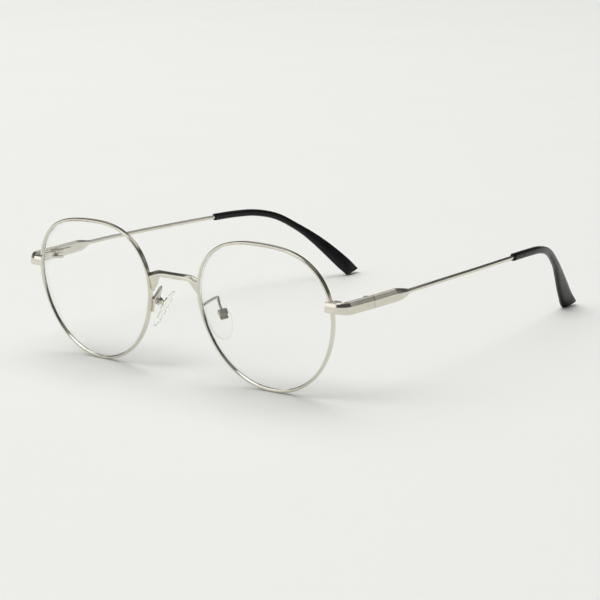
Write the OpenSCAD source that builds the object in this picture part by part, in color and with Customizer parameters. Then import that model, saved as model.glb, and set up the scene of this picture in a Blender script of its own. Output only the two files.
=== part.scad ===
// Round wire eyeglasses, folded open, standing on the lower rims and the temple tips.
// Millimetres. +X is the wearer's left, +Y runs back along the temples, +Z is up.
// Every half piece is drawn for the wearer's left and mirrored in the plane X = 0.

/* [Rims] */
// Mean radius of the outside of each rim
rim_radius = 24.8; // [23:0.1:26.5]
// Gap between the two rims at their middle height
nose_gap = 20.3; // [18:0.1:23]
// Wall of the rim wire, measured across the lens
rim_wall = 0.95; // [0.8:0.05:1.3]
// Depth of the rim wire, front to back
rim_depth = 1.85; // [1.6:0.05:2.4]
// Lean of the lens plane, top forward
rim_tilt = 5.4; // [0:0.2:9]
// Wrap of each lens plane round the face
rim_wrap = 2.6; // [0:0.2:5]
// Height of the rim centres above the table
rim_height = 24.37; // [22:0.05:27]

/* [Rim outline] */
// How much wider than tall the outline is
outline_oval = 0.9; // [0:0.05:1.5]
// How much fuller the upper corners are than the chin
outline_panto = 0.95; // [0:0.05:1.5]
// How square the outline is
outline_square = 0.35; // [0:0.05:0.6]
// How far the fullness leans to the nose side at the top
outline_lean = 0.35; // [0:0.05:0.6]

/* [Lenses] */
// Radius of the front surface
lens_front_r = 120; // [90:5:200]
// Thickness of the lens
lens_thick = 1.6; // [1.2:0.1:2.2]
// Depth of the vee groove in the rim and of the bevel on the lens
bevel = 0.4; // [0.3:0.05:0.5]

/* [Bridge] */
// Height of the bridge's middle above the rim centres
bridge_rise = 8.1; // [6:0.05:10]
// Height of the bridge bar
bridge_bar = 1.9; // [1.6:0.1:3]
// Depth of the bridge bar, front to back
bridge_deep = 1.6; // [1.4:0.1:1.8]
// Depth of the two feet below the bar, where they meet the rims
bridge_foot = 5.4; // [4:0.1:7]

/* [End pieces] */
// Height of the end piece where it meets the rim
end_front_h = 3.3; // [3:0.1:4]
// Thickness of the end piece where it meets the rim
end_front_t = 1; // [0.8:0.05:1.4]
// Radius of the corner, on its middle line
end_corner_r = 3.6; // [3:0.1:4.2]
// Distance of the seam behind the lens plane
seam_y = 13.7; // [12:0.1:16]
// Distance of the seam from the middle plane
seam_x = 66.1; // [64:0.1:69]

/* [Temples] */
// Height of the faceted bar
bar_h = 4.1; // [3.6:0.1:4.6]
// Thickness of the faceted bar
bar_t = 1.8; // [1.4:0.1:2.2]
// Length of the faceted bar
bar_len = 12.9; // [10:0.1:20]
// Outward lean of the bar
bar_lean = 3.5; // [0:0.5:6]
// Height of the bar's middle above the table
bar_z = 30.15; // [29:0.05:32]
// Diameter of the temple wire
wire_d = 1.4; // [1.2:0.1:1.8]
// Gap at the seam when the temple is open
seam_gap = 0.1; // [0.04:0.01:0.14]

/* [Temple tips] */
// Height of the tip where it starts
tip_start_h = 2.5; // [2.2:0.1:3]
// Thickness of the tip
tip_t = 2.2; // [2:0.1:2.6]
// Width of the paddle at the end
paddle_h = 6.3; // [5:0.1:8]
// Turn of the paddle about its own length, upper edge outwards
tip_turn = 22; // [0:1:40]
// Slant of the tip's end: how far its top edge runs on, as a part of the height
tip_slant = 0.75; // [0:0.05:0.8]

/* [Hinges] */
// Distance of the hinge pin from the inner face of the bar
hinge_offset = 1.45; // [1.35:0.05:1.8]
// Radius of the hinge barrel
barrel_r = 1.2; // [1.1:0.05:1.25]
// Height of the hinge barrel
barrel_h = 2.7; // [2.5:0.1:3]
// Drop of the hinge below the middle of the bar
hinge_drop = 0.3; // [0:0.05:0.4]
// Radius of the hinge screw's shaft
hinge_screw_r = 0.6; // [0.5:0.05:0.7]
// Running clearance round the hinge screw
hinge_clear = 0.04; // [0.02:0.01:0.08]

/* [Nose pads] */
// Length of a nose pad
pad_len = 13.8; // [12:0.1:15]
// Width of a nose pad
pad_w = 7.6; // [7:0.1:9]
// Thickness of a nose pad
pad_t = 1.8; // [1.6:0.1:2.2]
// Lean of the pads: their lower ends stand wider apart
pad_lean = 30; // [20:1:35]
// Splay of the pads: their back edges stand wider apart
pad_splay = 35; // [25:1:40]
// Radius of the pad screw's shaft
pad_screw_r = 0.4; // [0.35:0.05:0.5]
// Diameter of the pad arm wire
arm_d = 0.95; // [0.8:0.05:1.1]

/* [Hidden] */
$fn = 48;

metal = "silver";
screw_metal = "gainsboro";
clear = [0.85, 0.92, 0.93, 0.35];
black = [0.08, 0.09, 0.1];

front_reach = 2.6;
tip_reach = 159.45;
front_y = (front_reach - tip_reach) / 2;

// ---- vectors, curves and skins ------------------------------------------------------

function unit(v) = v / norm(v);
function flat(lists) = [for (l = lists) each l];

// Point at t between p1 and p2 on a smooth curve through p0..p3
function between(p0, p1, p2, p3, t) =
    0.5 * (2 * p1 + (p2 - p0) * t + (2 * p0 - 5 * p1 + 4 * p2 - p3) * t * t
        + (3 * p1 - p0 - 3 * p2 + p3) * t * t * t);

// Smooth curve through the points p, with the given steps between neighbours
function spline(p, steps) =
    let (last = len(p) - 1)
    [for (i = [0:last - 1]) for (s = [0:steps - 1])
        between(p[max(i - 1, 0)], p[i], p[i + 1], p[min(i + 2, last)], s / steps),
     p[last]];

function tangent(path, i) = unit(path[min(i + 1, len(path) - 1)] - path[max(i - 1, 0)]);

// A cross-section's points set square to the path at point i; side_ref fixes its roll
function ring_at(path, i, section, side_ref) =
    let (t = tangent(path, i), side = unit(cross(t, side_ref)), up = cross(side, t))
    [for (q = section) path[i] + side * q[0] + up * q[1]];

function rings_along(path, sections, side_ref = [0, 0, 1]) =
    [for (i = [0:len(path) - 1]) ring_at(path, i, sections[i], side_ref)];

// Solid through a row of rings that all have the same number of points
module skin(rings) {
    n = len(rings[0]);
    m = len(rings);
    first = n * m;
    centre = function (r) [for (k = [0:2]) [for (p = r) p[k]] * [for (p = r) 1] / n];
    points = concat(flat(rings), [centre(rings[0]), centre(rings[m - 1])]);
    walls = [for (i = [0:m - 2]) for (j = [0:n - 1])
        let (a = i * n + j, b = i * n + (j + 1) % n)
        each [[a, b, b + n], [a, b + n, a + n]]];
    caps = [for (j = [0:n - 1])
        let (k = (j + 1) % n, e = (m - 1) * n)
        each [[first, k, j], [first + 1, e + j, e + k]]];
    polyhedron(points, concat(walls, caps));
}

function round_section(r, n = 8) = [for (j = [0:n - 1]) r * [cos(360 * j / n), sin(360 * j / n)]];
function mix(a, b, t) = a + (b - a) * t;
function ease(t) = t <= 0 ? 0 : t >= 1 ? 1 : t * t * (3 - 2 * t);

// ---- lens outline and lens plane ---------------------------------------------------------

// Radius of the rim's outside at angle a, counted from the temple side, upwards
function outline(a) =
    rim_radius + outline_oval * cos(2 * a) + outline_panto * sin(3 * a)
    - outline_square * cos(4 * a) - outline_lean * sin(2 * a);

rim_x = nose_gap / 2 + outline(180);
rim_steps = 72;

// From the lens plane's own axes (out to the temple, back, up) to the model's. The lens
// plane is the middle of the rim's depth, and Y = 0 is the front of the rims
function lens_place(p) =
    let (back = p[1] + rim_depth / 2,
         x = p[0] * cos(rim_wrap) - back * sin(rim_wrap),
         y = p[0] * sin(rim_wrap) + back * cos(rim_wrap))
    [rim_x + x,
     y * cos(rim_tilt) - p[2] * sin(rim_tilt),
     rim_height + y * sin(rim_tilt) + p[2] * cos(rim_tilt)];

// Point at angle a, a distance inside the outline and a distance behind the lens plane
function rim_point(a, inside, back) =
    lens_place([(outline(a) - inside) * cos(a), back, (outline(a) - inside) * sin(a)]);

split_angle = 12.6;
split_half = 0.15;

module rim() {
    d = rim_depth / 2;
    w = rim_wall;
    g = bevel;
    section = [
        [0, d - 0.3], [-0.25, d], [0.2 - w, d], [-w, d - 0.2], [-w, g], [g - w, 0],
        [-w, -g], [-w, 0.2 - d], [0.2 - w, -d], [-0.4, -d], [-0.15, 0.3 - d]
    ];
    span = 360 - 2 * split_half;
    skin([for (i = [0:rim_steps])
        let (a = split_angle + split_half + span * i / rim_steps)
        [for (q = section) rim_point(a, -q[0], -q[1])]]);
}

// Distance of a lens surface of radius r behind its own middle, at a distance off the axis
function sag(r, off) = r - sqrt(r * r - off * off);

module lens() {
    edge_in = rim_wall + 0.08;
    apex_in = edge_in - bevel;
    edge_half = bevel + 0.03;
    seat = sag(lens_front_r, rim_radius - edge_in);
    back_r = lens_front_r - lens_thick;
    face = [0.1, 0.4, 0.7, 0.9];
    place = function (a, r, back) lens_place([r * cos(a), back, r * sin(a)]);
    front_at = function (r) sag(lens_front_r, r) - seat - 0.55;
    back_at = function (r) sag(back_r, r) - seat - 0.55 + lens_thick;
    angles = [for (j = [0:rim_steps - 1]) 360 * j / rim_steps];
    skin(concat(
        [for (k = face) [for (a = angles)
            let (r = k * (outline(a) - edge_in)) place(a, r, front_at(r))]],
        [[for (a = angles) place(a, outline(a) - edge_in, -edge_half)],
         [for (a = angles) place(a, outline(a) - apex_in, 0)],
         [for (a = angles) place(a, outline(a) - edge_in, edge_half)]],
        [for (k = [3, 2, 1, 0]) [for (a = angles)
            let (r = face[k] * (outline(a) - edge_in)) place(a, r, back_at(r))]]
    ));
}

// ---- bridge ------------------------------------------------------------------------------

bridge_steps = 40;
bridge_fall = 1.2;
solder = 0.2;

// How far from the middle plane the bridge reaches at height z, to sink into the rim's side
function bridge_reach(z) =
    let (b = asin((z - rim_height) / (rim_radius + outline_panto)))
    rim_point(180 - b, solder, 0)[0];

// The feet lean back below the bar, and the top of the bar falls a little at its two ends
module bridge_bar_solid() {
    bottom = rim_height + bridge_rise - bridge_bar / 2;
    skin([for (i = [0:bridge_steps])
        let (s = 2 * i / bridge_steps - 1,
             k = abs(s),
             top = bottom + bridge_bar - bridge_fall * ease((k - 0.56) / 0.5),
             low = bottom - bridge_foot * pow(max(k - 0.61, 0) / 0.39, 1.1),
             front = -0.5 - 0.3 * (1 - k * k) - bridge_deep / 2,
             back = front + bridge_deep,
             lean = 0.25 * min(bottom - low, 3.5),
             waist = top - mix(0.7, 1.15, ease((k - 0.3) / 0.4)))
        [for (q = [[back + 0.3 * lean, mix(top, low, 0.2)], [back, top - 0.3], [back - 0.3, top],
                   [back - 0.8, top], [front, waist], [front + lean, low + 0.15],
                   [front + lean + 0.25, low], [back + lean, low]])
            [s * bridge_reach(q[1]), q[0], q[1]]]]);
}

// ---- end pieces --------------------------------------------------------------------------

// The faceted section, outer side at +X: t is its thickness and h its height
function bar_section(t, h) = [
    [0.5 * t, -0.43 * h], [0.5 * t, 0.11 * h], [0.2 * t, 0.37 * h], [-0.14 * t, 0.5 * h],
    [-0.5 * t, 0.32 * h], [-0.5 * t, -0.32 * h], [-0.28 * t, -0.5 * h], [0.33 * t, -0.5 * h]
];

end_front_y = 0.1;
end_start_x = 58.9;
bar_dir = [sin(bar_lean), cos(bar_lean), 0];
bar_out = [cos(bar_lean), -sin(bar_lean), 0];
seam = [seam_x, seam_y, bar_z];
turn = 90 - bar_lean;
corner_end_y = end_front_y + end_corner_r * (1 - cos(turn));
corner_x = seam_x - (seam_y - corner_end_y) * tan(bar_lean) - end_corner_r * sin(turn);

module end_piece() {
    turns = 10;
    corner = [for (k = [0:turns])
        let (a = turn * k / turns)
        [corner_x + end_corner_r * sin(a), end_front_y + end_corner_r * (1 - cos(a)), bar_z]];
    path = concat([[end_start_x, end_front_y, bar_z]], corner, [seam]);
    grow = [for (i = [0:len(path) - 1]) ease((i - 1) / turns)];
    skin([for (i = [0:len(path) - 1])
        let (t = mix(end_front_t, bar_t, grow[i]), h = mix(end_front_h, bar_h, grow[i]),
             a = i == 0 ? 0 : i == len(path) - 1 ? turn : turn * (i - 1) / turns,
             out = [sin(a), -cos(a), 0])
        [for (q = bar_section(t, h)) path[i] + out * q[0] + [0, 0, q[1]]]]);
}

// ---- closing blocks and rim screw ---------------------------------------------------------

block_x = 60.6;
block_w = 2.2;
block_d = 2.15;
block_gap = 0.1;
split_z = rim_point(split_angle, 0.5, 0)[2];
rim_screw_at = [block_x + 0.58 * block_w, 1.85];
rim_screw_r = 0.5;
lower_block_h = 1.5;
upper_block_h = 1.75;
rim_head_h = 0.42;

module closing_block_upper()
    difference() {
        translate([block_x, 0.55, split_z + block_gap / 2])
            cube([block_w, block_d + 0.2, upper_block_h]);
        translate([rim_screw_at[0], rim_screw_at[1], split_z])
            cylinder(r = rim_screw_r + 0.02, h = upper_block_h - 0.3);
    }

module closing_block_lower()
    difference() {
        translate([block_x, 0.85, split_z - block_gap / 2 - lower_block_h])
            cube([block_w, block_d - 0.1, lower_block_h]);
        translate([rim_screw_at[0], rim_screw_at[1], split_z - lower_block_h - 1])
            cylinder(r = rim_screw_r + 0.05, h = lower_block_h + 2);
    }

// A slotted screw standing on its head, shaft up
module slotted_screw(head_r, head_h, shaft_r, shaft_l) {
    slot_w = 0.28 * head_r;
    difference() {
        cylinder(r = head_r, h = head_h);
        translate([-head_r, -slot_w / 2, -0.01])
            cube([2 * head_r, slot_w, 0.45 * head_h]);
    }
    translate([0, 0, head_h])
        cylinder(r = shaft_r, h = shaft_l);
}

module rim_screw()
    translate([rim_screw_at[0], rim_screw_at[1], split_z - block_gap / 2 - lower_block_h - rim_head_h])
        slotted_screw(0.85, rim_head_h, rim_screw_r, lower_block_h + upper_block_h - 0.5);

// ---- hinge: its own axes have the pin at the origin, +X towards the bar, +Y back ------------

pin_at = seam - (bar_t / 2 + hinge_offset) * bar_out - [0, 0, hinge_drop];
knuckle_gap = 0.04;
mid_h = 1;
side_h = (barrel_h - mid_h) / 2 - knuckle_gap;
leaf_t = 0.5;
hinge_head_h = 0.35;
leaf_len = 5.5;
leaf_h = 2;

module at_pin()
    translate(pin_at)
        rotate([0, 0, -bar_lean])
            children();

// One knuckle with the web that carries it; back is 1 towards the temple, -1 to the front
module knuckle(z, h, back, bore_r)
    translate([0, 0, z])
        difference() {
            union() {
                cylinder(r = barrel_r, h = h);
                translate([0, back > 0 ? 0.15 : -1.9, 0])
                    cube([hinge_offset, 1.75, h]);
            }
            translate([0, 0, -1])
                cylinder(r = bore_r, h = h + 2);
        }

module hinge_front()
    at_pin() {
        knuckle(barrel_h / 2 - side_h, side_h, -1, hinge_screw_r + 0.02);
        knuckle(-barrel_h / 2, side_h, -1, hinge_screw_r + 0.02);
        translate([hinge_offset - leaf_t, -leaf_len - 1.35, -leaf_h / 2])
            cube([leaf_t, leaf_len, leaf_h]);
    }

module hinge_temple()
    at_pin() {
        knuckle(-mid_h / 2, mid_h, 1, hinge_screw_r + hinge_clear);
        translate([hinge_offset - leaf_t, 1.35, -leaf_h / 2])
            cube([leaf_t, leaf_len, leaf_h]);
    }

module hinge_screw()
    at_pin()
        translate([0, 0, barrel_h / 2 + hinge_head_h])
            rotate([180, 0, 30])
                slotted_screw(0.95, hinge_head_h, hinge_screw_r, barrel_h + 0.1);

// ---- temples -------------------------------------------------------------------------------

// Middle line of the wire behind the bar, then down the inside of the tip
bar_start = seam + seam_gap * bar_dir;
bar_full = seam + (bar_len - 2.6) * bar_dir + [0, 0, 0.24];
bar_end = seam + bar_len * bar_dir + [0, 0, 0.1];
taper_mid = bar_end + 2.2 * bar_dir + [0, 0, 0.08];
taper_end = bar_end + 4.1 * bar_dir + [0, 0, 0.25];
wire_route = [
    taper_end, [67, 45, 30.6], [66, 70, 30.4], [64.5, 92.9, 30.1],
    [63.5, 104, 29.8], [61.9, 114, 28.9], [59.4, 123.5, 26.2], [56.3, 133, 20.5],
    [54, 139, 15.9], [51.6, 145.3, 10.3], [49.4, 151.9, 4.15], [48.6, 155.6, 0.8]
];
tip_first = 3;

route_steps = 3;
wire_path = spline([for (i = [0:len(wire_route) - 3]) wire_route[i]], route_steps);

// Eight points round the wire, each in line with its own corner of the bar's section
function wire_section(d) =
    [for (a = [-55, 5, 55, 100, 145, -145, -110, -80]) d / 2 * [cos(a), sin(a)]];

module temple() {
    path = concat([bar_start, bar_full, bar_end, taper_mid], wire_path);
    bar = [for (k = [[1, 1], [1, 1], [1, 0.88], [0.93, 0.62]]) bar_section(k[0] * bar_t, k[1] * bar_h)];
    sections = concat(bar, [for (p = wire_path) wire_section(wire_d)]);
    skin([for (i = [0:len(path) - 1])
        i < len(bar)
            ? [for (q = sections[i]) path[i] + bar_out * q[0] + [0, 0, q[1]]]
            : ring_at(path, i, sections[i], [0, 0, 1])]);
}

// Rounded paddle section: t is its thickness and h its height
function paddle_section(t, h) =
    [for (j = [0:11])
        let (a = 30 * j, c = cos(a), s = sin(a))
        [t / 2 * sign(c) * pow(abs(c), 0.75), h / 2 * sign(s) * pow(abs(s), 0.75)]];

// Room in the tip for the core of the temple wire, open at the tip's mouth
module core_room() {
    last = len(wire_path) - 1;
    end = wire_path[last] + 0.4 * tangent(wire_path, last);
    path = concat([for (i = [tip_first * route_steps - 1:last - 1]) wire_path[i]], [end]);
    skin(rings_along(path, [for (p = path) wire_section(wire_d + 0.1)]));
}

module temple_tip()
    difference() {
        tip_outside();
        core_room();
    }

// The points q turned clockwise about their origin
function turned(q, a) = [for (p = q) [p[0] * cos(a) + p[1] * sin(a), p[1] * cos(a) - p[0] * sin(a)]];

module tip_outside() {
    path = spline([for (i = [tip_first:len(wire_route) - 1]) wire_route[i]], route_steps);
    last = len(path) - 1;
    sections = [for (i = [0:last])
        let (k = i / last,
             h = i == 0 ? tip_start_h - 0.5 : mix(tip_start_h, paddle_h, ease((k - 0.43) / 0.48)),
             t = i == 0 ? tip_t - 0.5 : tip_t)
        paddle_section(t, h)];
    rings = rings_along(path, [for (i = [0:last]) turned(sections[i], tip_turn * ease(i / last / 0.8))]);
    skin([for (i = [0:last])
        let (cut = tip_slant * ease((i / last - 0.7) / 0.3))
        [for (j = [0:len(rings[i]) - 1])
            rings[i][j] + cut * sections[i][j][1] * tangent(path, i)]]);
}

// ---- nose pads: their own axes have +X to the pad box, +Y along the pad's width, +Z up ------

pad_at = [11.9, 7.32, 19];
pad_roll = 10;
pin_x = 2.7;
pin_y = 1.35;
pin_z = 0.9;
stud_half = 0.45;
stud_r = 0.75;
box_wall = 0.4;
box_half = stud_half + 0.05 + box_wall;
box_h = 1.8;
box_front = 0.85;
box_ear = 0.6;
box_room = 0.82;
box_back = 0.25;
pad_back = 0.75;
insert_t = 0.35;
pad_head_h = 0.45;

module at_pad()
    translate(pad_at)
        rotate([pad_roll, -pad_lean, -pad_splay])
            children();

// Outline of the pad, fuller above its middle and flatter along its front edge
function pad_outline(k) =
    [for (j = [0:23])
        let (a = 15 * j,
             side = pad_w / 2 * (sin(a) > 0 ? 1.06 : 0.94))
        k * [pad_len / 2 * cos(a), side * sin(a) * (1 + 0.07 * cos(a))]];

module nose_pad() {
    // Distance from the flat back, as a part of the thickness, and size of the outline there
    layers = [[1, 0.12], [0.97, 0.45], [0.86, 0.74], [0.66, 0.92], [0.4, 1], [0.14, 1], [0, 0.94]];
    at_pad()
        skin([for (l = layers)
            [for (q = pad_outline(l[1])) [pad_back - l[0] * pad_t, q[1], q[0]]]]);
}

module pad_insert()
    at_pad()
        difference() {
            union() {
                translate([pad_back, pin_y - 1.3, pin_z - 1.7])
                    cube([insert_t, 2.6, 3.4]);
                translate([pad_back, pin_y - stud_half, pin_z - stud_r])
                    cube([pin_x - pad_back, 2 * stud_half, 2 * stud_r]);
                translate([pin_x, pin_y + stud_half, pin_z])
                    rotate([90, 0, 0])
                        cylinder(r = stud_r, h = 2 * stud_half);
            }
            translate([pin_x, pin_y + stud_half + 1, pin_z])
                rotate([90, 0, 0])
                    cylinder(r = pad_screw_r + 0.04, h = 2 * stud_half + 2);
        }

module pad_box()
    at_pad()
        translate([pin_x, pin_y, pin_z])
            difference() {
                translate([-box_front, -box_half - box_ear, -box_h / 2])
                    cube([box_front + box_room + box_back, 2 * box_half + box_ear, box_h]);
                translate([-2, -box_half + box_wall, -box_h])
                    cube([2 + box_room, 2 * (box_half - box_wall), 2 * box_h]);
                translate([0, box_half + 1, 0])
                    rotate([90, 0, 0])
                        cylinder(r = pad_screw_r + 0.02, h = 2 * box_half + box_ear + 2);
            }

module pad_screw()
    at_pad()
        translate([pin_x, pin_y - box_half - box_ear - pad_head_h, pin_z])
            rotate([-90, 0, 0])
                slotted_screw(0.85, pad_head_h, pad_screw_r, 2 * box_half + box_ear);

// Wire from its foot on the back of the rim, round its crook and down to the pad box
module pad_arm() {
    foot_back = rim_depth / 2 + 0.15;
    foot = [for (a = [192.5, 189, 185.5, 182]) rim_point(a, 0.15, foot_back)];
    crook = [[10.7, 2.8, 24.6], [11.6, 5.2, 25.7], [12.15, 6.45, 26], [12.4, 6.55, 25.3],
             [12.75, 6.45, 24.1], [13.43, 6.58, 22.15]];
    path = spline(concat(foot, crook), 3);
    last = len(path) - 1;
    sections = [for (i = [0:last])
        let (k = ease((i - 7) / 4)) // the foot is broad and flat, the wire is round
        [for (q = round_section(arm_d / 2)) [q[0] * mix(1.35, 1, k), q[1] * mix(0.85, 1, k)]]];
    skin(rings_along(path, sections, [0, 1, 0]));
}

// ---- the nodes -------------------------------------------------------------------------------

module on_left()
    translate([0, front_y, 0])
        children();

module on_right()
    mirror([1, 0, 0])
        on_left()
            children();

module rim_left() { color(metal) on_left() rim(); }
module rim_right() { color(metal) on_right() rim(); }
module lens_left() { color(clear) on_left() lens(); }
module lens_right() { color(clear) on_right() lens(); }
module bridge() { color(metal) on_left() bridge_bar_solid(); }
module end_piece_left() { color(metal) on_left() end_piece(); }
module end_piece_right() { color(metal) on_right() end_piece(); }
module closing_block_upper_left() { color(metal) on_left() closing_block_upper(); }
module closing_block_upper_right() { color(metal) on_right() closing_block_upper(); }
module closing_block_lower_left() { color(metal) on_left() closing_block_lower(); }
module closing_block_lower_right() { color(metal) on_right() closing_block_lower(); }
module rim_screw_left() { color(screw_metal) on_left() rim_screw(); }
module rim_screw_right() { color(screw_metal) on_right() rim_screw(); }
module hinge_front_left() { color(metal) on_left() hinge_front(); }
module hinge_front_right() { color(metal) on_right() hinge_front(); }
module pad_arm_left() { color(metal) on_left() pad_arm(); }
module pad_arm_right() { color(metal) on_right() pad_arm(); }
module pad_box_left() { color(metal) on_left() pad_box(); }
module pad_box_right() { color(metal) on_right() pad_box(); }
module pad_screw_left() { color(screw_metal) on_left() pad_screw(); }
module pad_screw_right() { color(screw_metal) on_right() pad_screw(); }
module hinge_screw_left() { color(screw_metal) on_left() hinge_screw(); }
module hinge_screw_right() { color(screw_metal) on_right() hinge_screw(); }
module temple_left() { color(metal) on_left() temple(); }
module temple_right() { color(metal) on_right() temple(); }
module hinge_temple_left() { color(metal) on_left() hinge_temple(); }
module hinge_temple_right() { color(metal) on_right() hinge_temple(); }
module temple_tip_left() { color(black) on_left() temple_tip(); }
module temple_tip_right() { color(black) on_right() temple_tip(); }
module nose_pad_left() { color(clear) on_left() nose_pad(); }
module nose_pad_right() { color(clear) on_right() nose_pad(); }
module pad_insert_left() { color(metal) on_left() pad_insert(); }
module pad_insert_right() { color(metal) on_right() pad_insert(); }

rim_left();
rim_right();
lens_left();
lens_right();
bridge();
end_piece_left();
end_piece_right();
closing_block_upper_left();
closing_block_upper_right();
closing_block_lower_left();
closing_block_lower_right();
rim_screw_left();
rim_screw_right();
hinge_front_left();
hinge_front_right();
pad_arm_left();
pad_arm_right();
pad_box_left();
pad_box_right();
pad_screw_left();
pad_screw_right();
hinge_screw_left();
hinge_screw_right();
temple_left();
temple_right();
hinge_temple_left();
hinge_temple_right();
temple_tip_left();
temple_tip_right();
nose_pad_left();
nose_pad_right();
pad_insert_left();
pad_insert_right();
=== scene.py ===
"""Round wire eyeglasses: the looks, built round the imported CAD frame.

Pieces are drawn in millimetres for the wearer's left, with Y = 0 at the front of the rims, and put()
turns them into metres in the CAD frame, mirrored for the right.
"""

import math

import bmesh
import bpy
from mathutils import Euler, Matrix, Vector


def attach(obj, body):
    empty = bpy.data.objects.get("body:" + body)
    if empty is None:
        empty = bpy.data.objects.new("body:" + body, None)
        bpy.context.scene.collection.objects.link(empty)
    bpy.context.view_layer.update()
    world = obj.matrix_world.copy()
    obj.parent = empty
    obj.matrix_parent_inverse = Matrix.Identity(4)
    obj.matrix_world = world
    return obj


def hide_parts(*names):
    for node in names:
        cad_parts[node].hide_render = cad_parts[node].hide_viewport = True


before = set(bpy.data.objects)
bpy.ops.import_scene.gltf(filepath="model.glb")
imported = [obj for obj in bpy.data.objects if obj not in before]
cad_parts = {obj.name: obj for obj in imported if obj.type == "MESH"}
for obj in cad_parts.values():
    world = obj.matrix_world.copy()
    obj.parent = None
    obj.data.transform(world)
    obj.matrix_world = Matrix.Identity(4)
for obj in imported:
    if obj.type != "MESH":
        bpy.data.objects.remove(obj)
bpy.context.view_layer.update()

MM = 0.001
FRONT_Y = -78.425
SIDES = {"left": 1, "right": -1}

# Rims and lenses, the same sizes as in the CAD
RIM_RADIUS = 24.8
NOSE_GAP = 20.3
RIM_WALL = 0.95
RIM_DEPTH = 1.85
RIM_TILT = 5.4
RIM_WRAP = 2.6
RIM_HEIGHT = 24.37
OVAL, PANTO, SQUARE, LEAN = 0.9, 0.95, 0.35, 0.35
SPLIT_ANGLE = 12.6
SPLIT_HALF = 0.15
BEVEL = 0.4
LENS_FRONT_R = 120
LENS_THICK = 1.6
LENS_FORWARD = 0.55

# Bridge
BRIDGE_RISE = 8.1
BRIDGE_BAR = 1.9
BRIDGE_DEEP = 1.6
BRIDGE_FOOT = 5.4
BRIDGE_FALL = 1.2
SOLDER = 0.2

# End pieces and temples
END_FRONT_H, END_FRONT_T = 3.3, 1
END_CORNER_R = 3.6
END_START_X, END_FRONT_Y = 58.9, 0.1
SEAM = Vector((66.1, 13.7, 30.15))
SEAM_GAP = 0.1
BAR_H, BAR_T, BAR_LEN, BAR_LEAN = 4.1, 1.8, 12.9, 3.5
WIRE_D = 1.4
TIP_START_H, TIP_T, PADDLE_H, TIP_TURN, TIP_SLANT = 2.5, 2.2, 6.3, 22, 0.75

# Hinges
HINGE_OFFSET = 1.45
BARREL_H = 2.7
HINGE_DROP = 0.3
HINGE_SCREW_R = 0.6
HINGE_HEAD_R, HINGE_HEAD_H = 0.95, 0.35

# Nose pads: their own axes have +X to the pad box, +Y along the width, +Z up
PAD_AT = Vector((11.9, 7.32, 19))
PAD_TURN = Euler([math.radians(a) for a in (10, -30, -35)], "XYZ").to_matrix()
PAD_LEN, PAD_W, PAD_T, PAD_BACK = 13.8, 7.6, 1.8, 0.75
PIN = Vector((2.7, 1.35, 0.9))
BOX_HALF, BOX_EAR = 0.9, 0.6
PAD_HEAD_R, PAD_HEAD_H = 0.85, 0.45
PAD_SCREW_R = 0.4
ARM_D = 0.95

# Closing blocks
BLOCK_X, BLOCK_W, BLOCK_GAP, LOWER_BLOCK_H, UPPER_BLOCK_H = 60.6, 2.2, 0.1, 1.5, 1.75
RIM_HEAD_R, RIM_HEAD_H = 0.85, 0.42
RIM_SCREW_R = 0.5


# ---- curves, sections and skins ----------------------------------------------------------------


def cosd(angle):
    return math.cos(math.radians(angle))


def sind(angle):
    return math.sin(math.radians(angle))


def mix(a, b, t):
    return a + (b - a) * t


def ease(t):
    t = min(max(t, 0), 1)
    return t * t * (3 - 2 * t)


def spline(points, steps):
    """Smooth curve through the points, with steps between neighbours: the CAD's own curve."""
    points = [Vector(p) for p in points]
    last = len(points) - 1
    curve = []
    for i in range(last):
        p0, p1, p2, p3 = points[max(i - 1, 0)], points[i], points[i + 1], points[min(i + 2, last)]
        for s in range(steps):
            t = s / steps
            curve.append(0.5 * (2 * p1 + (p2 - p0) * t + (2 * p0 - 5 * p1 + 4 * p2 - p3) * t * t
                                + (3 * p1 - p0 - 3 * p2 + p3) * t ** 3))
    return curve + [points[last]]


def tangent(path, i):
    return (path[min(i + 1, len(path) - 1)] - path[max(i - 1, 0)]).normalized()


def ring_at(path, i, section, side_ref=(0, 0, 1)):
    """The section's points set square to the path at point i; side_ref fixes its roll."""
    along = tangent(path, i)
    side = along.cross(Vector(side_ref)).normalized()
    up = side.cross(along)
    return [path[i] + side * q[0] + up * q[1] for q in section]


def rounded(corners, radius, steps=4):
    """A closed outline with every corner rounded off."""
    outline_points = []
    for i, corner in enumerate(corners):
        here = Vector(corner)
        before = Vector(corners[i - 1]) - here
        after = Vector(corners[(i + 1) % len(corners)]) - here
        start = here + before.normalized() * min(radius, 0.42 * before.length)
        end = here + after.normalized() * min(radius, 0.42 * after.length)
        for s in range(steps + 1):
            t = s / steps
            outline_points.append((1 - t) ** 2 * start + 2 * t * (1 - t) * here + t * t * end)
    return outline_points


def circle(radius, count):
    return [radius * Vector((cosd(360 * j / count), sind(360 * j / count))) for j in range(count)]


def shrunk(ring, amount):
    """The ring with each point moved an amount towards its middle."""
    middle = sum(ring, Vector((0, 0, 0))) / len(ring)
    return [p + (middle - p).normalized() * min(amount, (middle - p).length) for p in ring]


def softened(rings, radius, steps=3):
    """The rings with both ends rounded off by a radius."""
    def end(last, inner):
        back = (sum(inner, Vector()) - sum(last, Vector())).normalized() * radius
        return [[p + back * (1 - sind(90 * s / steps))
                 for p in shrunk(last, radius * (1 - cosd(90 * s / steps)))]
                for s in range(steps + 1)]
    return end(rings[0], rings[1])[::-1] + rings[1:-1] + end(rings[-1], rings[-2])


# ---- pieces ------------------------------------------------------------------------------------


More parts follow.
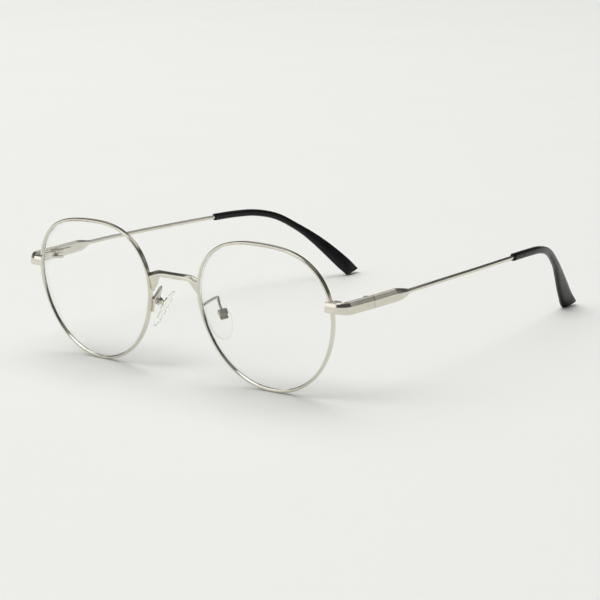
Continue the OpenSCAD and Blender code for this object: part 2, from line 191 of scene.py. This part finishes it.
def put(name, points, faces, material, side=None):
    """A new smooth piece from points in the drawing's millimetres."""
    sign = SIDES.get(side, 1)
    mesh = bpy.data.meshes.new(name)
    mesh.from_pydata([(sign * p[0] * MM, (p[1] + FRONT_Y) * MM, p[2] * MM) for p in points], [], faces)
    piece = bpy.data.objects.new(name, mesh)
    bpy.context.scene.collection.objects.link(piece)
    tidy_mesh(piece)
    mesh.materials.append(material)
    return piece


def tidy_mesh(piece):
    """Normals outwards, smooth faces, and flats that stay flat beside their rounded edges."""
    bm = bmesh.new()
    bm.from_mesh(piece.data)
    bmesh.ops.remove_doubles(bm, verts=bm.verts, dist=1e-7)
    bmesh.ops.recalc_face_normals(bm, faces=bm.faces)
    for face in bm.faces:
        face.smooth = True
    bm.to_mesh(piece.data)
    bm.free()
    if "flats" not in piece.modifiers:
        flats = piece.modifiers.new("flats", "WEIGHTED_NORMAL")
        flats.weight = 60


def skin(name, rings, material, side=None):
    """A piece through a row of rings that all have the same number of points."""
    count = len(rings[0])
    points = [p for ring in rings for p in ring]
    faces = []
    for i in range(len(rings) - 1):
        for j in range(count):
            k = (j + 1) % count
            here, there = i * count, (i + 1) * count
            faces.append((here + j, here + k, there + k, there + j))
    faces.append(tuple(reversed(range(count))))
    faces.append(tuple(range(len(points) - count, len(points))))
    return put(name, points, faces, material, side)


def finished(piece, body, node):
    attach(piece, body)
    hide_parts(node)
    return piece


def bevelled(node, width, material):
    """A piece with the CAD node's own shape, its flats joined up and its edges eased."""
    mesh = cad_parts[node].data.copy()
    mesh.name = node + "_finished"
    mesh.materials.clear()
    mesh.materials.append(material)
    piece = bpy.data.objects.new(node + "_finished", mesh)
    bpy.context.scene.collection.objects.link(piece)
    bm = bmesh.new()
    bm.from_mesh(mesh)
    bmesh.ops.remove_doubles(bm, verts=bm.verts, dist=1e-6)
    bmesh.ops.dissolve_limit(bm, angle_limit=math.radians(1), verts=bm.verts, edges=bm.edges)
    bm.to_mesh(mesh)
    bm.free()
    edges = piece.modifiers.new("edges", "BEVEL")
    edges.width = width * MM
    edges.segments = 3
    edges.limit_method = "ANGLE"
    edges.angle_limit = math.radians(40)
    tidy_mesh(piece)
    return piece


def screw(name, at, along, head_r, head_h, shaft_r, length, slot_turn, material, side):
    """A slotted screw: at is the outside of its head, and along points down its shaft."""
    profile = [(0, 0), (0.62 * head_r, 0.02 * head_h), (0.86 * head_r, 0.12 * head_h),
               (0.97 * head_r, 0.34 * head_h), (head_r, 0.55 * head_h), (head_r, 0.86 * head_h),
               (0.93 * head_r, head_h), (shaft_r, head_h), (shaft_r, length - 0.12),
               (shaft_r - 0.12, length)]
    count = 48
    along = Vector(along).normalized()
    turn = along.to_track_quat("Z", "Y").to_matrix() @ Matrix.Rotation(math.radians(slot_turn), 3, "Z")
    slot_half = 0.15 * head_r
    slot_deep = 0.45 * head_h
    rings = []
    for r, z in profile[1:]:
        ring = []
        for q in circle(r, count):
            in_slot = abs(q.y) < slot_half and z < slot_deep
            ring.append(Vector(at) + turn @ Vector((q.x, q.y, slot_deep if in_slot else z)))
        rings.append(ring)
    return skin(name, rings, material, side)


# ---- materials -----------------------------------------------------------------------------------


class Shader:
    """A node tree being built: each call adds a node and links or sets its inputs."""

    def __init__(self, name):
        self.material = bpy.data.materials.new(name)
        self.material.use_nodes = True
        self.tree = self.material.node_tree
        self.tree.nodes.clear()
        self.place = self.add("ShaderNodeTexCoord").outputs["Object"]

    def add(self, kind, inputs=(), **settings):
        node = self.tree.nodes.new(kind)
        for key, value in settings.items():
            setattr(node, key, value)
        for key, value in dict(inputs).items():
            if isinstance(value, bpy.types.NodeSocket):
                self.tree.links.new(value, node.inputs[key])
            else:
                node.inputs[key].default_value = value
        return node

    def stretched(self, scale):
        return self.add("ShaderNodeMapping", {"Vector": self.place, "Scale": scale}).outputs[0]

    def noise(self, scale, detail=3, vector=None):
        inputs = {"Vector": vector or self.place, "Scale": scale, "Detail": detail}
        return self.add("ShaderNodeTexNoise", inputs).outputs["Fac"]

    def ranged(self, value, low, high, start=0.3, stop=0.7):
        inputs = {"Value": value, "From Min": start, "From Max": stop, "To Min": low, "To Max": high}
        return self.add("ShaderNodeMapRange", inputs).outputs["Result"]

    def blend(self, factor, first, second):
        node = self.add("ShaderNodeMix", data_type="RGBA")
        self.tree.links.new(factor, node.inputs[0])
        node.inputs[6].default_value = (*first, 1)
        node.inputs[7].default_value = (*second, 1)
        return node.outputs[2]

    def bump(self, height, strength, distance):
        inputs = {"Height": height, "Strength": strength, "Distance": distance}
        return self.add("ShaderNodeBump", inputs).outputs[0]

    def finish(self, shader):
        output = self.add("ShaderNodeOutputMaterial")
        self.tree.links.new(shader, output.inputs["Surface"])
        return self.material


def plated_metal():
    """Polished silver plating with a warm cast, faint polishing lines and cloudy patches."""
    s = Shader("frame_metal")
    cloud = s.noise(220)
    lines = s.noise(900, detail=2, vector=s.stretched((1, 0.08, 1)))
    grain = s.noise(9000, detail=2)
    colour = s.blend(s.ranged(cloud, 0, 1), (0.74, 0.715, 0.635), (0.68, 0.655, 0.57))
    roughness = s.add("ShaderNodeMath", {0: s.ranged(lines, 0.10, 0.17), 1: s.ranged(cloud, 0, 0.05)},
                      operation="ADD").outputs[0]
    shader = s.add("ShaderNodeBsdfPrincipled", {
        "Base Color": colour, "Metallic": 1.0, "Roughness": roughness,
        "Normal": s.bump(grain, 0.12, 0.00001)})
    return s.finish(shader.outputs[0])


def turned_steel():
    """Screw steel: turning rings and a slightly duller, cooler face."""
    s = Shader("screws")
    rings = s.noise(5200, detail=1)
    colour = s.blend(s.ranged(s.noise(700), 0, 1), (0.70, 0.69, 0.66), (0.58, 0.57, 0.55))
    shader = s.add("ShaderNodeBsdfPrincipled", {
        "Base Color": colour, "Metallic": 1.0, "Roughness": s.ranged(rings, 0.16, 0.3),
        "Normal": s.bump(rings, 0.2, 0.00001)})
    return s.finish(shader.outputs[0])


def lens_glass():
    """Clear coated lens with the faintest wiping marks."""
    s = Shader("lens")
    marks = s.noise(60, detail=4, vector=s.stretched((1, 1, 0.35)))
    shader = s.add("ShaderNodeBsdfPrincipled", {
        "Base Color": s.blend(s.ranged(marks, 0, 1), (1, 1, 1), (0.985, 0.99, 0.99)),
        "Roughness": s.ranged(marks, 0.0, 0.012, 0.45, 0.8), "IOR": 1.46, "Transmission Weight": 1.0})
    return s.finish(shader.outputs[0])


def pad_plastic():
    """Clear soft pad with faint flow marks from the mould."""
    s = Shader("nose_pad")
    flow = s.noise(180, detail=3, vector=s.stretched((1, 1, 0.5)))
    shader = s.add("ShaderNodeBsdfPrincipled", {
        "Base Color": s.blend(s.ranged(flow, 0, 1), (0.99, 0.99, 0.985), (0.97, 0.98, 0.97)),
        "Roughness": s.ranged(flow, 0.2, 0.3), "IOR": 1.16, "Transmission Weight": 1.0,
        "Normal": s.bump(flow, 0.05, 0.00005)})
    clear = s.add("ShaderNodeBsdfTransparent", {"Color": (0.985, 0.985, 0.98, 1)})
    both = s.add("ShaderNodeMixShader", {0: 0.55, 1: clear.outputs[0], 2: shader.outputs[0]})
    return s.finish(both.outputs[0])


def black_acetate():
    """Polished black acetate with soft buffing waves and fine hairlines."""
    s = Shader("temple_tip")
    waves = s.noise(120, detail=2)
    hairs = s.noise(1500, detail=3, vector=s.stretched((1, 0.06, 1)))
    shader = s.add("ShaderNodeBsdfPrincipled", {
        "Base Color": s.blend(s.ranged(waves, 0, 1), (0.002, 0.0025, 0.0035), (0.004, 0.0045, 0.006)),
        "Roughness": s.ranged(hairs, 0.2, 0.3), "IOR": 1.45, "Specular IOR Level": 0.28,
        "Normal": s.bump(waves, 0.1, 0.0001)})
    return s.finish(shader.outputs[0])


def table_top():
    """Pale matt table with the faintest mottling."""
    s = Shader("table")
    mottle = s.noise(6, detail=5)
    shader = s.add("ShaderNodeBsdfPrincipled", {
        "Base Color": s.blend(s.ranged(mottle, 0, 1), (0.81, 0.82, 0.79), (0.79, 0.80, 0.77)),
        "Roughness": s.ranged(mottle, 0.55, 0.65), "Specular IOR Level": 0.2})
    return s.finish(shader.outputs[0])


METAL = plated_metal()
STEEL = turned_steel()
GLASS = lens_glass()
CLEAR = pad_plastic()
BLACK = black_acetate()


# ---- lens outline, rims and lenses -----------------------------------------------------------------


def outline(angle):
    """Radius of the rim's outside at an angle from the temple side, upwards."""
    return (RIM_RADIUS + OVAL * cosd(2 * angle) + PANTO * sind(3 * angle)
            - SQUARE * cosd(4 * angle) - LEAN * sind(2 * angle))


RIM_X = NOSE_GAP / 2 + outline(180)
TILT_TURN = Matrix.Rotation(math.radians(RIM_TILT), 3, "X")
LENS_TURN = TILT_TURN @ Matrix.Rotation(math.radians(RIM_WRAP), 3, "Z")
LENS_AT = Vector((RIM_X, 0, RIM_HEIGHT))


def lens_place(x, back, up):
    """From the lens plane's own axes, out to the temple, back and up, to the drawing's."""
    return LENS_AT + LENS_TURN @ Vector((x, back + RIM_DEPTH / 2, up))


def rim_point(angle, inside, back):
    radius = outline(angle) - inside
    return lens_place(radius * cosd(angle), back, radius * sind(angle))


def build_rim(side):
    steps = 300
    half, wall = RIM_DEPTH / 2, RIM_WALL
    section = rounded([(0, half - 0.3), (-0.25, half), (0.2 - wall, half), (-wall, half - 0.2),
                       (-wall, BEVEL),
                       (BEVEL - wall, 0), (-wall, -BEVEL), (-wall, 0.2 - half), (0.2 - wall, -half),
                       (-0.4, -half), (-0.15, 0.3 - half)], 0.12)
    span = 360 - 2 * SPLIT_HALF
    angles = [SPLIT_ANGLE + SPLIT_HALF + span * i / steps for i in range(steps + 1)]
    rings = [[rim_point(a, -q[0], -q[1]) for q in section] for a in angles]
    piece = skin("rim_wire_" + side, rings, METAL, side)
    return finished(piece, "front", "rim_" + side)


def build_lens(side):
    count, rounds = 180, 18
    edge_in = RIM_WALL + 0.08
    edge_half = BEVEL + 0.03
    back_r = LENS_FRONT_R - LENS_THICK

    def sag(radius, off):
        return radius - math.sqrt(radius * radius - off * off)

    seat = sag(LENS_FRONT_R, RIM_RADIUS - edge_in)

    def ring(k, inside, back):
        radii = [(360 * j / count, k * (outline(360 * j / count) - inside)) for j in range(count)]
        return [lens_place(r * cosd(a), back(r), r * sind(a)) for a, r in radii]

    def front(radius):
        return sag(LENS_FRONT_R, radius) - seat - LENS_FORWARD

    def rear(radius):
        return sag(back_r, radius) - seat - LENS_FORWARD + LENS_THICK

    # Two close rings keep the edge's bent shading off the clear face
    parts = [0.985 * (i + 0.5) / (rounds - 0.5) for i in range(rounds)] + [0.993, 0.999]
    rings = [ring(k, edge_in, front) for k in parts]
    rings.append(ring(1, edge_in, lambda r: -edge_half))
    rings.append(ring(1, edge_in - BEVEL, lambda r: 0))
    rings.append(ring(1, edge_in, lambda r: edge_half))
    rings += [ring(k, edge_in, rear) for k in reversed(parts)]
    piece = skin("clear_lens_" + side, rings, GLASS, side)
    return finished(piece, "front", "lens_" + side)


# ---- bridge ------------------------------------------------------------------------------------------


def bridge_reach(z):
    """How far from the middle plane the bridge reaches at a height, to sink into the rim's side."""
    rise = math.degrees(math.asin((z - RIM_HEIGHT) / (RIM_RADIUS + PANTO)))
    return rim_point(180 - rise, SOLDER, 0).x


def build_bridge():
    """Bar with a sloping top, whose feet lean back along the rims."""
    steps = 160
    bottom = RIM_HEIGHT + BRIDGE_RISE - BRIDGE_BAR / 2
    rings = []
    for i in range(steps + 1):
        s = 2 * i / steps - 1
        k = abs(s)
        top = bottom + BRIDGE_BAR - BRIDGE_FALL * ease((k - 0.56) / 0.5)
        low = bottom - BRIDGE_FOOT * (max(k - 0.61, 0) / 0.39) ** 1.1
        front = -0.5 - 0.3 * (1 - k * k) - BRIDGE_DEEP / 2
        back = front + BRIDGE_DEEP
        lean = 0.25 * min(bottom - low, 3.5)
        waist = top - mix(0.7, 1.15, ease((k - 0.3) / 0.4))
        corners = [(back + 0.3 * lean, mix(top, low, 0.2)), (back, top - 0.3), (back - 0.3, top),
                   (back - 0.8, top), (front, waist), (front + lean, low + 0.15),
                   (front + lean + 0.25, low), (back + lean, low)]
        rings.append([Vector((s * bridge_reach(q[1]), q[0], q[1])) for q in rounded(corners, 0.16)])
    piece = skin("saddle_bridge", rings, METAL)
    return finished(piece, "front", "bridge")


# ---- end pieces and temples -------------------------------------------------------------------------


def bar_section(thick, high):
    """The faceted section, its outer side at +X."""
    corners = [(0.5, -0.43), (0.5, 0.11), (0.2, 0.37), (-0.14, 0.5), (-0.5, 0.32), (-0.5, -0.32),
               (-0.28, -0.5), (0.33, -0.5)]
    return rounded([(x * thick, z * high) for x, z in corners], 0.09)


BAR_ALONG = Vector((sind(BAR_LEAN), cosd(BAR_LEAN), 0))
BAR_OUT = Vector((cosd(BAR_LEAN), -sind(BAR_LEAN), 0))


def build_end_piece(side):
    turns = 48
    turn = 90 - BAR_LEAN
    corner_end_y = END_FRONT_Y + END_CORNER_R * (1 - cosd(turn))
    straight = (SEAM.y - corner_end_y) * math.tan(math.radians(BAR_LEAN))
    corner_x = SEAM.x - straight - END_CORNER_R * sind(turn)
    path = [(Vector((END_START_X, END_FRONT_Y, SEAM.z)), 0, 0)]
    for k in range(turns + 1):
        a = turn * k / turns
        at = Vector((corner_x + END_CORNER_R * sind(a), END_FRONT_Y + END_CORNER_R * (1 - cosd(a)), SEAM.z))
        path.append((at, a, ease(k / turns)))
    path.append((SEAM, turn, 1))
    rings = []
    for at, a, grow in path:
        section = bar_section(mix(END_FRONT_T, BAR_T, grow), mix(END_FRONT_H, BAR_H, grow))
        out = Vector((sind(a), -cosd(a), 0))
        rings.append([at + out * q[0] + Vector((0, 0, q[1])) for q in section])
    piece = skin("corner_piece_" + side, softened(rings, 0.15), METAL, side)
    return finished(piece, "front", "end_piece_" + side)


BAR_START = SEAM + SEAM_GAP * BAR_ALONG
BAR_FULL = SEAM + (BAR_LEN - 2.6) * BAR_ALONG + Vector((0, 0, 0.24))
BAR_END = SEAM + BAR_LEN * BAR_ALONG + Vector((0, 0, 0.1))
TAPER_MID = BAR_END + 2.2 * BAR_ALONG + Vector((0, 0, 0.08))
TAPER_END = BAR_END + 4.1 * BAR_ALONG + Vector((0, 0, 0.25))
WIRE_ROUTE = [TAPER_END, (67, 45, 30.6), (66, 70, 30.4), (64.5, 92.9, 30.1), (63.5, 104, 29.8),
              (61.9, 114, 28.9), (59.4, 123.5, 26.2), (56.3, 133, 20.5), (54, 139, 15.9),
              (51.6, 145.3, 10.3), (49.4, 151.9, 4.15), (48.6, 155.6, 0.8)]
TIP_FIRST = 3


def build_temple(side):
    """Faceted bar, its taper, and the wire that runs on as the tip's core."""
    round_corners = [-55, 5, 55, 100, 145, -145, -110, -80]
    wire = rounded([WIRE_D / 2 * 1.04 * Vector((cosd(a), sind(a))) for a in round_corners], 0.4)
    stations = [(BAR_START, bar_section(BAR_T, BAR_H)), (BAR_FULL, bar_section(BAR_T, BAR_H)),
                (BAR_END, bar_section(BAR_T, 0.88 * BAR_H)),
                (TAPER_MID, bar_section(0.93 * BAR_T, 0.62 * BAR_H)),
                (TAPER_END, wire)]

    def bar_ring(at, section):
        return [at + BAR_OUT * q[0] + Vector((0, 0, q[1])) for q in section]

    rings = [bar_ring(*stations[0])]
    blends = 6
    for (here, first), (there, second) in zip(stations[1:], stations[2:]):
        for k in range(blends):
            t = k / blends
            rings.append(bar_ring(here.lerp(there, t), [a.lerp(b, t) for a, b in zip(first, second)]))
    route = spline(WIRE_ROUTE[:-2], 12)
    rings += [ring_at(route, i, wire) for i in range(len(route))]
    piece = skin("temple_arm_" + side, softened(rings, 0.15), METAL, side)
    return finished(piece, "temple_" + side, "temple_" + side)


def build_temple_tip(side):
    """Black sleeve that thickens into the paddle behind the ear, cut off at a slant."""
    route = spline(WIRE_ROUTE[TIP_FIRST:], 16)
    last = len(route) - 1
    count = 48
    rings = []
    for i in range(last + 1):
        k = i / last
        high = mix(TIP_START_H, PADDLE_H, ease((k - 0.43) / 0.48))
        section = []
        for j in range(count):
            c, s = cosd(360 * j / count), sind(360 * j / count)
            section.append(Vector((TIP_T / 2 * math.copysign(abs(c) ** 0.75, c),
                                   high / 2 * math.copysign(abs(s) ** 0.75, s))))
        cut = TIP_SLANT * ease((k - 0.7) / 0.3)
        turn = Matrix.Rotation(math.radians(-TIP_TURN * ease(k / 0.8)), 2)
        ring = ring_at(route, i, [turn @ q for q in section])
        rings.append([p + cut * q[1] * tangent(route, i) for p, q in zip(ring, section)])
    piece = skin("ear_tip_" + side, softened(rings, 0.55, 6), BLACK, side)
    return finished(piece, "temple_" + side, "temple_tip_" + side)


# ---- hinges and closing blocks ---------------------------------------------------------------------------


def build_hinge(side):
    pin = SEAM - (BAR_T / 2 + HINGE_OFFSET) * BAR_OUT - Vector((0, 0, HINGE_DROP))
    top = pin + Vector((0, 0, BARREL_H / 2 + HINGE_HEAD_H))
    finished(bevelled("hinge_front_" + side, 0.08, METAL), "front", "hinge_front_" + side)
    half = bevelled("hinge_temple_" + side, 0.08, METAL)
    finished(half, "temple_" + side, "hinge_temple_" + side)
    piece = screw("hinge_pin_" + side, top, (0, 0, -1), HINGE_HEAD_R, HINGE_HEAD_H, HINGE_SCREW_R,
                  BARREL_H + HINGE_HEAD_H + 0.1, 30, STEEL, side)
    finished(piece, "front", "hinge_screw_" + side)


def build_closing_blocks(side):
    for which in ("upper", "lower"):
        node = f"closing_block_{which}_{side}"
        finished(bevelled(node, 0.1, METAL), "front", node)
    split_z = rim_point(SPLIT_ANGLE, 0.5, 0).z
    head = Vector((BLOCK_X + 0.58 * BLOCK_W, 1.85, split_z - BLOCK_GAP / 2 - LOWER_BLOCK_H - RIM_HEAD_H))
    piece = screw("rim_lock_screw_" + side, head, (0, 0, 1), RIM_HEAD_R, RIM_HEAD_H, RIM_SCREW_R,
                  RIM_HEAD_H + LOWER_BLOCK_H + UPPER_BLOCK_H - 0.5, 10, STEEL, side)
    finished(piece, "front", "rim_screw_" + side)


# ---- nose pads -------------------------------------------------------------------------------------------


def pad_point(x, y, z):
    return PAD_AT + PAD_TURN @ Vector((x, y, z))


def build_pad(side):
    """Clear pad: flat back, domed front, fuller above its middle."""
    count, layers = 64, 22
    rings = []
    for i in range(layers + 1):
        # From the crown of the dome, round the edge and onto the flat back
        a = 12 + (168 - 12) * i / layers
        size = sind(a) ** 0.55
        depth = 0.5 + 0.5 * math.copysign(abs(cosd(a)) ** 0.9, cosd(a))
        ring = []
        for j in range(count):
            c, s = cosd(360 * j / count), sind(360 * j / count)
            width = PAD_W / 2 * (1.06 if s > 0 else 0.94) * s * (1 + 0.07 * c)
            ring.append(pad_point(PAD_BACK - depth * PAD_T, size * width, size * PAD_LEN / 2 * c))
        rings.append(ring)
    piece = skin("soft_pad_" + side, rings, CLEAR, side)
    finished(piece, "pad_" + side, "nose_pad_" + side)
    insert = bevelled("pad_insert_" + side, 0.06, METAL)
    finished(insert, "pad_" + side, "pad_insert_" + side)


def build_pad_holder(side):
    """Arm from its blade on the rim, round the crook to the box, and the screw through the box."""
    foot = [rim_point(a, 0.15, RIM_DEPTH / 2 + 0.15) for a in (192.5, 189, 185.5, 182)]
    crook = [(10.7, 2.8, 24.6), (11.6, 5.2, 25.7), (12.15, 6.45, 26), (12.4, 6.55, 25.3),
             (12.75, 6.45, 24.1), (13.43, 6.58, 22.15)]
    path = spline(foot + crook, 12)
    rings = []
    for i in range(len(path)):
        k = ease((i / 4 - 7) / 4)
        section = [Vector((q.x * mix(1.35, 1, k), q.y * mix(0.85, 1, k))) for q in circle(ARM_D / 2, 20)]
        rings.append(ring_at(path, i, section, (0, 1, 0)))
    arm = skin("pad_wire_" + side, softened(rings, 0.2), METAL, side)
    finished(arm, "front", "pad_arm_" + side)
    finished(bevelled("pad_box_" + side, 0.62, METAL), "front", "pad_box_" + side)
    head = pad_point(PIN.x, PIN.y - BOX_HALF - BOX_EAR - PAD_HEAD_H, PIN.z)
    pin = screw("pad_pin_" + side, head, PAD_TURN @ Vector((0, 1, 0)), PAD_HEAD_R, PAD_HEAD_H, PAD_SCREW_R,
                PAD_HEAD_H + 2 * BOX_HALF + BOX_EAR, 40, STEEL, side)
    finished(pin, "front", "pad_screw_" + side)


# ---- camera, table and light ----------------------------------------------------------------------------


# The camera's place in metres, its turn in degrees and its focal length in millimetres
CAMERA_AT = (0.41245, -0.533315, 0.16238)
CAMERA_AZIMUTH, CAMERA_ELEVATION, CAMERA_ROLL = 38.59, 12.72, -0.745
CAMERA_FOCAL = 120.78
TABLE_RADIUS = 4
OVERHEAD_AT, OVERHEAD_SIZE, OVERHEAD_POWER = (-1.1, -0.1, 3), 4.5, 122


def add_camera():
    data = bpy.data.cameras.new("camera")
    data.sensor_width = 36
    data.lens = CAMERA_FOCAL
    data.clip_start = 0.01
    camera = bpy.data.objects.new("camera", data)
    bpy.context.scene.collection.objects.link(camera)
    pitch = math.radians(90 - CAMERA_ELEVATION)
    turn = Euler((pitch, 0, math.radians(CAMERA_AZIMUTH)), "XYZ").to_matrix()
    turn = turn @ Matrix.Rotation(math.radians(CAMERA_ROLL), 3, "Z")
    camera.matrix_world = Matrix.Translation(CAMERA_AT) @ turn.to_4x4()
    bpy.context.scene.camera = camera


def add_table():
    bm = bmesh.new()
    bmesh.ops.create_circle(bm, cap_ends=True, radius=TABLE_RADIUS, segments=96)
    mesh = bpy.data.meshes.new("table")
    bm.to_mesh(mesh)
    bm.free()
    mesh.materials.append(table_top())
    table = bpy.data.objects.new("table", mesh)
    bpy.context.scene.collection.objects.link(table)


def add_area(name, at, size, power, seen_in_metal):
    data = bpy.data.lights.new(name, "AREA")
    data.size = size
    data.energy = power
    light = bpy.data.objects.new(name, data)
    light.location = at
    light.rotation_euler = (-Vector(at)).to_track_quat("-Z", "Y").to_euler()
    light.visible_glossy = seen_in_metal
    bpy.context.scene.collection.objects.link(light)


def direction(azimuth, elevation):
    """Unit vector towards a place in the room: azimuth 0 is behind the glasses, 90 the wearer's left."""
    return (sind(azimuth) * cosd(elevation), cosd(azimuth) * cosd(elevation), sind(elevation))


def add_room():
    """A pale room as the metal sees it: bright low down, a dark ceiling, and a few soft windows."""
    world = bpy.data.worlds.new("room")
    bpy.context.scene.world = world
    world.use_nodes = True
    tree = world.node_tree
    tree.nodes.clear()

    def add(kind, inputs=(), **settings):
        node = tree.nodes.new(kind)
        for key, value in settings.items():
            setattr(node, key, value)
        for key, value in dict(inputs).items():
            if isinstance(value, bpy.types.NodeSocket):
                tree.links.new(value, node.inputs[key])
            else:
                node.inputs[key].default_value = value
        return node

    look = add("ShaderNodeTexCoord").outputs["Generated"]
    height = add("ShaderNodeSeparateXYZ", {0: look}).outputs["Z"]
    share = add("ShaderNodeMapRange", {"Value": height, "From Min": -1}).outputs[0]
    bands = add("ShaderNodeValToRGB", {0: share})
    ramp = bands.color_ramp
    ramp.interpolation = "EASE"
    # Height from -1, straight down, to 1, and the room's grey there
    levels = [(-1, 0.8), (0, 0.78), (0.08, 0.5), (0.18, 0.08), (0.45, 0.08), (0.75, 0.09), (1, 0.2)]
    for z, grey in levels[1:-1]:
        ramp.elements.new((z + 1) / 2).color = (grey, grey * 0.985, grey * 0.95, 1)
    for stop, (z, grey) in ((ramp.elements[0], levels[0]), (ramp.elements[-1], levels[-1])):
        stop.color = (grey, grey * 0.985, grey * 0.95, 1)
    colour = bands.outputs[0]
    for azimuth, elevation, spread, softness, level in WINDOWS:
        middle = direction(azimuth, elevation)
        facing = add("ShaderNodeVectorMath", {0: look, 1: middle}, operation="DOT_PRODUCT")
        inputs = {"Value": facing.outputs["Value"], "From Max": cosd(spread)}
        inputs["From Min"] = cosd(spread + softness)
        glow = add("ShaderNodeMapRange", inputs, interpolation_type="SMOOTHSTEP").outputs[0]
        layer = add("ShaderNodeMix", {0: glow, 6: colour}, data_type="RGBA")
        layer.inputs[7].default_value = (level, level * 0.99, level * 0.97, 1)
        colour = layer.outputs[2]
    background = add("ShaderNodeBackground", {"Color": colour, "Strength": 1.0})
    output = add("ShaderNodeOutputWorld")
    tree.links.new(background.outputs[0], output.inputs[0])


# Azimuth and elevation of each window's middle, its half width and soft edge in degrees, and its level
WINDOWS = [
    (-144, 20, 18, 8, 1.3),
    (-132, 44, 6, 6, 0.9),
    (-166, 60, 11, 8, 1.4),
    (0, 89, 10, 9, 1.1),
    (10, 52, 12, 9, 0.7),
    (62, 66, 10, 10, 0.4),
    (44, 25, 6, 7, 0.4),
    (-42, 16, 8, 9, 0.34),
    (-43, 48, 8, 7, 1.1),
]


build_bridge()
for side in SIDES:
    build_rim(side)
    build_lens(side)
    build_end_piece(side)
    build_temple(side)
    build_temple_tip(side)
    build_hinge(side)
    build_closing_blocks(side)
    build_pad(side)
    build_pad_holder(side)

bpy.context.scene.view_settings.view_transform = "Standard"
add_camera()
add_table()
add_room()
add_area("overhead_light", OVERHEAD_AT, OVERHEAD_SIZE, OVERHEAD_POWER, False)
